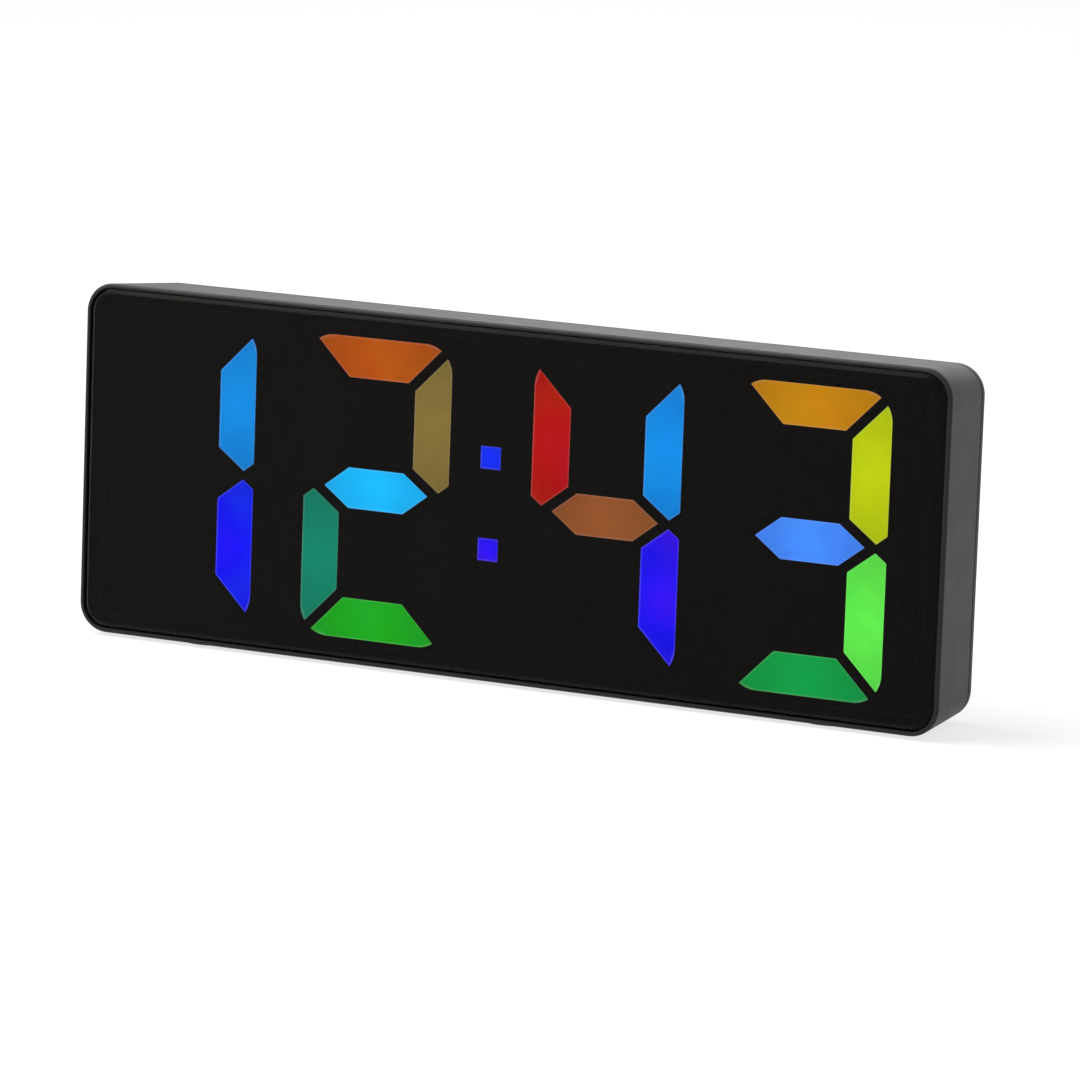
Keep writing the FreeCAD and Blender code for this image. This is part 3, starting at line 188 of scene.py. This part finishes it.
def smoked_acrylic():
    """Cast acrylic, dyed grey through and polished: black until something shines behind it.

    Its bevel is milled and not polished as well, so it catches a softer, paler line of light. Its
    rear face mirrors nothing, because the film and the tape are pressed on to it without air.
    """
    material, tree, place = new_material("smoked_acrylic")
    depth = add(tree, "SeparateXYZ", place).outputs["Y"]
    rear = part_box("front_lens")[1].y
    pressed = add(tree, "Math", depth, rear - 0.05 * MM, operation="GREATER_THAN")
    facing = add(tree, "SeparateXYZ", add(tree, "TexCoord").outputs["Normal"]).outputs["Y"]
    flat = add(tree, "Math", facing, operation="ABSOLUTE")
    milled = add(tree, "MapRange", flat, 0.94, 0.98, 1.0, 0.0)
    casting = add(tree, "TexNoise", Vector=place, Scale=per_mm(40.0), Detail=1.0)
    tint = add(tree, "Mix", milled, linear("#6f6c68"), linear("#716f69"), data_type="RGBA")
    mirrored = add(tree, "Mix", pressed, tint, linear("#000000"), data_type="RGBA")
    shade(
        tree,
        Base_Color=linear(LENS_SMOKE),
        Roughness=add(tree, "MapRange", milled, 0.0, 1.0, 0.02, 0.2),
        IOR=1.49,
        Transmission_Weight=1.0,
        Specular_Tint=mirrored,
        Normal=add(tree, "Bump", Height=casting, Distance=0.002 * MM),
    )
    return material


def foam_tape():
    """Black polyethylene foam tape: its cut cells are pits, drawn 0.4 mm wide to show."""
    material, tree, place = new_material("foam_tape")
    cells = add(tree, "TexVoronoi", Vector=place, Scale=per_mm(0.4))
    walls = add(tree, "MapRange", cells, *SPREAD)
    shade(
        tree,
        Base_Color=add(tree, "Mix", walls, linear("#090909"), linear("#0d0d0d"), data_type="RGBA"),
        Roughness=add(tree, "MapRange", cells, *SPREAD, 0.84, 0.95),
        IOR=1.5,
        Specular_IOR_Level=BLACK_GLOSS,
        Normal=add(tree, "Bump", Height=cells, Distance=0.006 * MM),
    )
    return material


def display_black(name):
    """Matte black that makes a piece disappear behind the lens.

    On the mask it is screen ink on polyester film. In an unlit diffuser it is the dye of the
    frosted acrylic, which hides it against the ink. Both are drawn with 0.6 mm grains to show.
    """
    material, tree, place = new_material(name)
    grains = add(tree, "TexNoise", Vector=place, Scale=per_mm(0.6))
    ink = add(tree, "MapRange", grains, *SPREAD)
    shade(
        tree,
        Base_Color=add(tree, "Mix", ink, linear("#050505"), linear("#080808"), data_type="RGBA"),
        Roughness=add(tree, "MapRange", grains, *SPREAD, 0.66, 0.74),
        IOR=1.5,
        Specular_IOR_Level=BLACK_GLOSS,
        Normal=add(tree, "Bump", Height=grains, Distance=0.003 * MM),
    )
    return material


def rim_depth(tree, place, diffuser):
    """How far a point of a diffuser's face lies inside the face's outline, in metres."""
    lowest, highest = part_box(diffuser)
    corners = [corner.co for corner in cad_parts[diffuser].data.vertices]
    face = [Vector((co.x, co.z)) for co in corners if co.y < lowest.y + 0.1 * MM]
    outline = [face[index] for index in convex_hull_2d(face)]
    depth = max(highest - lowest) / 2
    for near, far in zip(outline, outline[1:] + outline[:1]):
        # The short sides are the steps of a rounded corner
        if (far - near).length < 0.3 * MM:
            continue
        edge = (far - near).normalized()
        inwards = Vector((-edge.y, 0, edge.x))
        side = inwards.x * near.x + inwards.z * near.y
        measured = add(tree, "VectorMath", place, inwards, operation="DOT_PRODUCT")
        inside = add(tree, "Math", measured, side, operation="SUBTRACT")
        depth = add(tree, "Math", inside, depth, operation="MINIMUM")
    return depth


def lit_diffuser(diffuser, hex_colour):
    """Frosted acrylic over a lit diode: strongest over the diode, and paler along the rim.

    The diode's three crystals sit side by side, so the colour drifts a little across the segment.
    The funnel's white wall throws light on to the last half millimetre, which makes the pale rim.
    """
    material, tree, place = new_material("lit_" + diffuser)
    lowest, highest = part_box(diffuser)
    reach = max(highest - lowest) / 2
    away = add(tree, "VectorMath", place, (lowest + highest) / 2, operation="DISTANCE")
    strength = add(tree, "MapRange", away, 0.1 * reach, 1.1 * reach, 1.14, 0.8)
    frost = add(tree, "TexNoise", Vector=place, Scale=per_mm(3.0), Detail=1.0)
    cloudy = add(tree, "MapRange", frost, *SPREAD, 0.96, 1.04)
    inside = rim_depth(tree, place, diffuser)
    rim = add(tree, "MapRange", inside, 0.35 * MM, 0.65 * MM, 0.05, 0.0)
    colour = add(tree, "Mix", rim, linear(hex_colour), linear("#ffffff"), data_type="RGBA")
    crystals = add(tree, "TexNoise", Vector=place, Scale=per_mm(9.0), Detail=0.0)
    drift = add(tree, "MapRange", crystals, *SPREAD, 0.497, 0.503)
    colour = add(tree, "HueSaturation", Hue=drift, Color=colour)
    share = add(tree, "Math", strength, cloudy, operation="MULTIPLY")
    shade(
        tree,
        Base_Color=linear(hex_colour),
        Roughness=0.6,
        IOR=1.49,
        Emission_Color=add(tree, "VectorMath", colour, share, operation="SCALE"),
        Emission_Strength=LIGHT_BEHIND_LENS,
    )
    return material


def reflector_pbt():
    """White PBT, as bright as moulded plastic gets, with black ink on its front face and rim."""
    material, tree, place = new_material("reflector_pbt")
    spot = add(tree, "SeparateXYZ", place).outputs
    lowest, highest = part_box("reflector_block")
    middle, half = (lowest + highest) / 2, (highest - lowest) / 2
    bare = add(tree, "MapRange", spot["Y"], lowest.y + 0.02 * MM, lowest.y + 0.06 * MM)
    inked_rim = 1.2 * MM
    for way, axis in ((0, "X"), (2, "Z")):
        inner = half[way] - inked_rim
        core = add(tree, "Math", spot[axis], middle[way], inner, operation="COMPARE")
        bare = add(tree, "Math", bare, core, operation="MULTIPLY")
    melt = add(tree, "TexNoise", Vector=place, Scale=per_mm(9.0), Detail=3.0)
    clouds = add(tree, "MapRange", melt, *SPREAD)
    white = add(tree, "Mix", clouds, linear("#e9e8e2"), linear("#dfddd5"), data_type="RGBA")
    skin = add(tree, "TexNoise", Vector=place, Scale=per_mm(0.3), Detail=1.0)
    shade(
        tree,
        Base_Color=add(tree, "Mix", bare, linear("#0b0b0b"), white, data_type="RGBA"),
        Roughness=add(tree, "MapRange", bare, 0.0, 1.0, 0.7, 0.42),
        IOR=1.57,
        Normal=add(tree, "Bump", Height=skin, Distance=0.004 * MM),
    )
    return material


# ---------------------------------------------------------------- boards and components


def masked_laminate():
    """FR-4 board: green solder mask over copper and glass cloth, with straw-coloured sawn edges.

    The mask is paler over copper. Where tracks run side by side, 1 mm apart, the gaps between them
    are darker, and tinned vias show as dots. The cloth's threads print through as a faint weave,
    drawn 0.6 mm wide to show.
    """
    material, tree, place = new_material("masked_laminate")
    height = add(tree, "SeparateXYZ", place).outputs["Z"]
    between = add(tree, "Math", height, 0.5 * MM, operation="PINGPONG")
    gap = add(tree, "MapRange", between, 0.1 * MM, 0.16 * MM, 1.0, 0.0)
    routes = add(tree, "Mapping", place, Scale=(0.16, 1.0, 0.6))
    bundles = add(tree, "TexNoise", Vector=routes, Scale=per_mm(5.0), Detail=0.0)
    bundles = add(tree, "Math", bundles, 0.5, operation="GREATER_THAN")
    tracks = add(tree, "Math", gap, bundles, operation="MULTIPLY")
    mask = add(tree, "Mix", tracks, linear("#15503a"), linear("#0b2e1f"), data_type="RGBA")
    sites = add(tree, "TexVoronoi", Vector=place, Scale=per_mm(6.0))
    via = add(tree, "MapRange", sites, 0.06, 0.075, 1.0, 0.0)
    mask = add(tree, "Mix", via, mask, linear("#b4b3aa"), data_type="RGBA")
    facing = add(tree, "SeparateXYZ", add(tree, "TexCoord").outputs["Normal"]).outputs["Y"]
    flat = add(tree, "Math", facing, operation="ABSOLUTE")
    sawn = add(tree, "Math", flat, 0.5, operation="LESS_THAN")
    warp, weft = (
        add(tree, "TexWave", Vector=place, Scale=per_mm(0.6) / BANDS, bands_direction=way)
        for way in ("X", "Z")
    )
    cloth = add(tree, "Math", warp.outputs["Fac"], weft.outputs["Fac"], operation="MULTIPLY")
    cloth = add(tree, "Math", cloth, 0.3, operation="MULTIPLY")
    relief = add(tree, "Math", cloth, tracks, operation="SUBTRACT")
    shade(
        tree,
        Base_Color=add(tree, "Mix", sawn, mask, linear("#9a9161"), data_type="RGBA"),
        Roughness=add(tree, "MapRange", sawn, 0.0, 1.0, 0.35, 0.8),
        IOR=1.5,
        Normal=add(tree, "Bump", Height=relief, Distance=0.02 * MM),
    )
    return material


def diode_package():
    """Diode package: white polyphthalamide, filled at the front with clear yellowish silicone."""
    material, tree, place = new_material("diode_package")
    depth = add(tree, "SeparateXYZ", place).outputs["Y"]
    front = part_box("rgb_leds")[0].y
    face = add(tree, "MapRange", depth, front + 0.02 * MM, front + 0.05 * MM, 1.0, 0.0)
    phosphor = add(tree, "TexNoise", Vector=place, Scale=per_mm(0.8))
    clouds = add(tree, "MapRange", phosphor, *SPREAD)
    filled = add(tree, "Mix", clouds, linear("#d6d0a4"), linear("#cec798"), data_type="RGBA")
    skin = add(tree, "TexNoise", Vector=place, Scale=per_mm(0.2), Detail=1.0)
    shade(
        tree,
        Base_Color=add(tree, "Mix", face, linear("#e4e2da"), filled, data_type="RGBA"),
        Roughness=add(tree, "MapRange", face, 0.0, 1.0, 0.5, 0.15),
        IOR=1.55,
        Normal=add(tree, "Bump", Height=skin, Distance=0.003 * MM),
    )
    return material


def glass_filled_nylon(name, hex_colour, roughness):
    """Nylon filled with chopped glass: dark, with short pale fibres swirled into the skin."""
    material, tree, place = new_material(name)
    flow = add(tree, "Mapping", place, Scale=(0.25, 1.0, 1.0))
    swirl = add(tree, "TexNoise", Vector=flow, Scale=per_mm(0.5), Detail=3.0, Distortion=0.8)
    fibres = add(tree, "MapRange", swirl, 0.55, 0.75)
    nylon, glass = linear(hex_colour), linear("#33322f")
    shade(
        tree,
        Base_Color=add(tree, "Mix", fibres, nylon, glass, data_type="RGBA"),
        Roughness=add(tree, "MapRange", fibres, 0.0, 1.0, roughness, roughness + 0.15),
        IOR=1.53,
        Normal=add(tree, "Bump", Height=swirl, Distance=0.008 * MM),
    )
    return material


def moulded_epoxy(name, hex_colour, dots, legs_below=None):
    """Epoxy moulding compound of a chip: matt charcoal with fine silica specks.

    A dot is the polished dimple that marks pin 1. Below a depth, the same solid is the tinned legs.
    """
    material, tree, place = new_material(name)
    silica = add(tree, "TexNoise", Vector=place, Scale=per_mm(0.15))
    specks = add(tree, "MapRange", silica, 0.6, 0.8)
    colour = add(tree, "Mix", specks, linear(hex_colour), linear("#34343a"), data_type="RGBA")
    rough = add(tree, "MapRange", specks, 0.0, 1.0, 0.6, 0.7)
    for dot in dots:
        away = add(tree, "VectorMath", place, dot, operation="DISTANCE")
        dimple = add(tree, "MapRange", away, 0.45 * MM, 0.5 * MM, 1.0, 0.0)
        colour = add(tree, "Mix", dimple, colour, linear("#101012"), data_type="RGBA")
        rough = add(tree, "Math", dimple, -0.35, rough, operation="MULTIPLY_ADD")
    tin = 0.0
    if legs_below is not None:
        depth = add(tree, "SeparateXYZ", place).outputs["Y"]
        tin = add(tree, "Math", depth, legs_below, operation="LESS_THAN")
        colour = add(tree, "Mix", tin, colour, linear("#c3c2bd"), data_type="RGBA")
        rough = add(tree, "Math", tin, -0.3, rough, operation="MULTIPLY_ADD")
    skin = add(tree, "TexNoise", Vector=place, Scale=per_mm(0.12), Detail=1.0)
    shade(
        tree,
        Base_Color=colour,
        Roughness=rough,
        IOR=1.55,
        Metallic=tin,
        Normal=add(tree, "Bump", Height=skin, Distance=0.004 * MM),
    )
    return material


def plated_steel(name, hex_colour, roughness, lie, ring_centre=None):
    """Nickel-plated steel: rolled or drawn, so that fine lines run one way through its shine.

    lie squeezes the lines' pattern along each axis. A turned face has rings about a centre as well,
    drawn 0.35 mm wide to show.
    """
    material, tree, place = new_material(name)
    drawn = add(tree, "Mapping", place, Scale=lie)
    lines = add(tree, "TexNoise", Vector=drawn, Scale=per_mm(0.25), Detail=3.0)
    if ring_centre is not None:
        spun = add(tree, "Mapping", place, Location=-ring_centre)
        settings = {"wave_type": "RINGS", "rings_direction": "Y", "Distortion": 0.4}
        rings = add(tree, "TexWave", Vector=spun, Scale=per_mm(0.35) / BANDS, **settings)
        share = 0.12
        lines = add(tree, "Math", lines, 1 - share, operation="MULTIPLY")
        lines = add(tree, "Math", rings.outputs["Fac"], share, lines, operation="MULTIPLY_ADD")
    worn = add(tree, "MapRange", lines, *SPREAD)
    shade(
        tree,
        Base_Color=add(tree, "Mix", worn, linear(hex_colour), linear("#aaa79d"), data_type="RGBA"),
        Roughness=add(tree, "MapRange", lines, *SPREAD, roughness - 0.06, roughness + 0.1),
        Metallic=1.0,
        Normal=add(tree, "Bump", Height=lines, Distance=0.003 * MM),
    )
    return material


def socket_shell():
    """Drawn stainless shell round a black tongue, whose gold contacts end short of its tip."""
    half_length, half_breadth, pitch, half_contact = 3.4 * MM, 0.45 * MM, 0.5 * MM, 0.12 * MM
    material, tree, place = new_material("socket_shell")
    lowest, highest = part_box("power_socket")
    middle = (lowest + highest) / 2
    contact_tips = highest.y - 1.6 * MM
    spot = add(tree, "SeparateXYZ", place).outputs
    in_length = add(tree, "Math", spot["X"], middle.x, half_length, operation="COMPARE")
    in_breadth = add(tree, "Math", spot["Z"], middle.z, half_breadth, operation="COMPARE")
    tongue = add(tree, "Math", in_length, in_breadth, operation="MULTIPLY")
    from_middle = add(tree, "Math", spot["X"], middle.x, operation="SUBTRACT")
    beside = add(tree, "Math", from_middle, pitch, 0.0, operation="WRAP")
    strip = add(tree, "Math", beside, pitch / 2, half_contact, operation="COMPARE")
    covered = add(tree, "Math", spot["Y"], contact_tips, operation="LESS_THAN")
    gold = add(tree, "Math", strip, covered, operation="MULTIPLY")
    bare = add(tree, "Math", 1.0, tongue, operation="SUBTRACT")
    lie = add(tree, "Mapping", place, Scale=(1.0, 0.15, 1.0))
    drawn = add(tree, "TexNoise", Vector=lie, Scale=per_mm(0.3), Detail=3.0)
    lines = add(tree, "MapRange", drawn, *SPREAD)
    steel = add(tree, "Mix", lines, linear("#b9b8b4"), linear("#a3a29e"), data_type="RGBA")
    inside = add(tree, "Mix", gold, linear("#141414"), linear("#c9a352"), data_type="RGBA")
    shade(
        tree,
        Base_Color=add(tree, "Mix", tongue, steel, inside, data_type="RGBA"),
        Roughness=add(tree, "MapRange", drawn, *SPREAD, 0.24, 0.38),
        Metallic=add(tree, "Math", bare, gold, operation="MAXIMUM"),
        Normal=add(tree, "Bump", Height=drawn, Distance=0.002 * MM),
    )
    return material


def acetal():
    """Acetal, cut and moulded: waxy, slightly see-through white with a low sheen."""
    material, tree, place = new_material("white_acetal")
    melt = add(tree, "TexNoise", Vector=place, Scale=per_mm(2.0))
    clouds = add(tree, "MapRange", melt, *SPREAD)
    sheen = add(tree, "TexNoise", Vector=place, Scale=per_mm(1.0))
    skin = add(tree, "TexNoise", Vector=place, Scale=per_mm(0.3), Detail=1.0)
    shade(
        tree,
        Base_Color=add(tree, "Mix", clouds, linear("#dcd9cc"), linear("#c9c6b9"), data_type="RGBA"),
        Roughness=add(tree, "MapRange", sheen, *SPREAD, 0.34, 0.44),
        IOR=1.48,
        Subsurface_Weight=0.15,
        Subsurface_Scale=1.0 * MM,
        Normal=add(tree, "Bump", Height=skin, Distance=0.003 * MM),
    )
    return material


def black_zinc():
    """Steel screw in black zinc: a dark metal shine, worn paler on its highest grains."""
    material, tree, place = new_material("black_zinc")
    grains = add(tree, "TexNoise", Vector=place, Scale=per_mm(0.5), Detail=4.0)
    rubbed = add(tree, "MapRange", grains, 0.5, 0.8)
    sheen = add(tree, "TexNoise", Vector=place, Scale=per_mm(0.6))
    dents = add(tree, "TexNoise", Vector=place, Scale=per_mm(0.4))
    shade(
        tree,
        Base_Color=add(tree, "Mix", rubbed, linear("#4a4a4e"), linear("#737378"), data_type="RGBA"),
        Roughness=add(tree, "MapRange", sheen, *SPREAD, 0.24, 0.38),
        Metallic=1.0,
        Normal=add(tree, "Bump", Height=dents, Distance=0.002 * MM),
    )
    return material


# ---------------------------------------------------------------- the studio


def backdrop_share(tree):
    """1 for a ray that sees the backdrop as plain white: a camera, glossy or transmitted ray."""
    path = add(tree, "LightPath").outputs
    seen = path["Is Camera Ray"]
    for ray in ("Is Glossy Ray", "Is Transmission Ray"):
        seen = add(tree, "Math", seen, path[ray], operation="MAXIMUM")
    return seen


def seamless_paper():
    """White photographer's paper: matte, and still dark enough in the shade to ground the object.

    Far from the object, where its shadow doesn't reach, it is plain white.
    """
    material, tree, place = new_material("seamless_paper")
    away = add(tree, "VectorMath", place, operation="LENGTH")
    white = add(tree, "MapRange", away, SHADE_ENDS, WHITE_BEGINS, PAPER_NEAR, PAPER_FAR)
    share = add(tree, "Math", backdrop_share(tree), white, operation="MULTIPLY")
    paper = add(tree, "BsdfDiffuse", linear("#e6e5e3"))
    glow = add(tree, "Emission", linear("#ffffff"), 1.0)
    add(tree, "OutputMaterial", add(tree, "MixShader", share, paper, glow))
    return material


def build_floor():
    """A pale floor that reaches far behind the object."""
    sheet = bmesh.new()
    bmesh.ops.create_circle(sheet, cap_ends=True, segments=64, radius=FLOOR_RADIUS)
    mesh = bpy.data.meshes.new("floor")
    sheet.to_mesh(mesh)
    sheet.free()
    mesh.materials.append(seamless_paper())
    floor = bpy.data.objects.new("floor", mesh)
    bpy.context.scene.collection.objects.link(floor)


def build_world():
    """A white room: its light is even, and what the lens mirrors of it is white too."""
    world = bpy.data.worlds.new("studio")
    bpy.context.scene.world = world
    world.use_nodes = True
    tree = world.node_tree
    tree.nodes.clear()
    strength = add(tree, "MapRange", backdrop_share(tree), 0.0, 1.0, ROOM_LIGHT, 1.0)
    add(tree, "OutputWorld", add(tree, "Background", linear("#ffffff"), strength))


def soft_box(name, place, target, size, watts):
    """A square soft box aimed at a place."""
    light = bpy.data.lights.new(name, "AREA")
    light.shape = "SQUARE"
    light.size = size
    light.energy = watts
    lamp = bpy.data.objects.new(name, light)
    bpy.context.scene.collection.objects.link(lamp)
    lamp.location = place
    aim = Vector(target) - Vector(place)
    lamp.rotation_euler = aim.to_track_quat("-Z", "Y").to_euler()


def build_camera():
    """A long lens in front, to the right and a little above."""
    camera = bpy.data.cameras.new("camera")
    camera.sensor_width = SENSOR_WIDTH
    camera.lens = FOCAL_LENGTH
    camera.clip_start = 0.05
    camera.clip_end = 20.0
    stand = bpy.data.objects.new("camera", camera)
    bpy.context.scene.collection.objects.link(stand)
    stand.location = CAMERA_PLACE
    angles = (CAMERA_PITCH, CAMERA_ROLL, CAMERA_TURN)
    stand.rotation_euler = [math.radians(angle) for angle in angles]
    bpy.context.scene.camera = stand


# ---------------------------------------------------------------- dressing the clock


def dress(material, *nodes):
    """Gives a finish to CAD nodes."""
    for name in nodes:
        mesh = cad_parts[name].data
        mesh.materials.clear()
        mesh.materials.append(material)


def dress_case():
    """The outside: housing, cover, door, buttons, feet and screws."""
    satin = {"roughness": 0.5, "texture": 0.3, "relief": 0.006}
    matt = {"roughness": 0.52, "texture": 0.5, "relief": 0.03}
    fine = {"roughness": 0.45, "texture": 0.4, "relief": 0.015}
    smooth = {"roughness": 0.32, "texture": 0.3, "relief": 0.004}
    dress(moulded_abs("housing_abs", "#1c1c1d", "#1f1f20", **satin), "front_housing")
    dress(moulded_abs("cover_abs", "#1c1c1d", "#202021", **matt), "rear_cover")
    dress(moulded_abs("door_abs", "#1e1e1f", "#222223", **fine), "battery_door")
    button_abs = moulded_abs("button_abs", "#262627", "#2a2a2b", **smooth)
    dress(button_abs, *(f"button_{name}" for name in BUTTONS))
    dress(moulded_rubber(), "rubber_foot_left", "rubber_foot_right")
    dress(black_zinc(), "case_screws", "board_screws")


def dress_display():
    """The lens and what lies behind it, with the segments of 12:43 and the colon lit."""
    dress(smoked_acrylic(), "front_lens")
    dress(foam_tape(), "lens_tape")
    dress(display_black("printed_mask_film"), "display_mask")
    dress(reflector_pbt(), "reflector_block")
    lit = {f"diffuser_colon_{end}": colour for end, colour in LIT_COLON.items()}
    for digit, segments in LIT_SEGMENTS.items():
        for letter, colour in segments.items():
            lit[f"diffuser_{digit}_{letter}"] = colour
    unlit = display_black("dark_diffuser")
    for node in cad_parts:
        if node.startswith("diffuser_"):
            dress(lit_diffuser(node, lit[node]) if node in lit else unlit, node)


def dress_board():
    """The display board with everything soldered to it, and the power socket."""
    dress(masked_laminate(), "display_board")
    dress(diode_package(), "rgb_leds")
    lowest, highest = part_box("driver_chips")
    first_pin_z = lowest.z + 2.9 * MM
    dots = [Vector((x, highest.y, first_pin_z)) for x in (-26.0 * MM, 14.0 * MM)]
    leg_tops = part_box("display_board")[1].y + 0.31 * MM
    dress(moulded_epoxy("driver_chip_epoxy", "#1d1d20", dots, leg_tops), "driver_chips")
    lowest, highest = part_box("clock_chip")
    inset = 1.6 * MM
    dot = Vector((lowest.x + inset, highest.y, lowest.z + inset))
    dress(moulded_epoxy("clock_chip_epoxy", "#1b1b1e", [dot]), "clock_chip")
    along_x = (0.15, 1.0, 1.0)
    dress(plated_steel("crystal_can", "#c2c1bc", 0.28, lie=along_x), "clock_crystal")
    dress(glass_filled_nylon("black_nylon", "#161617", 0.42), "sounder", "tact_switches")
    dress(acetal(), *(f"switch_plunger_{name}" for name in BUTTONS))
    dress(socket_shell(), "power_socket")


def dress_battery():
    """The coin cell in its holder, under its contact strip."""
    dress(glass_filled_nylon("holder_nylon", "#1b1b1b", 0.5), "coin_cell_holder")
    lowest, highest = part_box("coin_cell")
    turned = {"lie": (1.0, 1.0, 1.0), "ring_centre": (lowest + highest) / 2}
    dress(plated_steel("cell_nickel", "#c6c3b9", 0.26, **turned), "coin_cell")
    down_strip = (1.0, 0.15, 0.15)
    dress(plated_steel("contact_nickel", "#c9c2ae", 0.3, lie=down_strip), "cell_contact")


build_camera()
build_floor()
build_world()
for name, placed in SOFT_BOXES.items():
    soft_box(name, *placed)

dress_case()
dress_display()
dress_board()
dress_battery()

bpy.context.scene.view_settings.view_transform = "Standard"
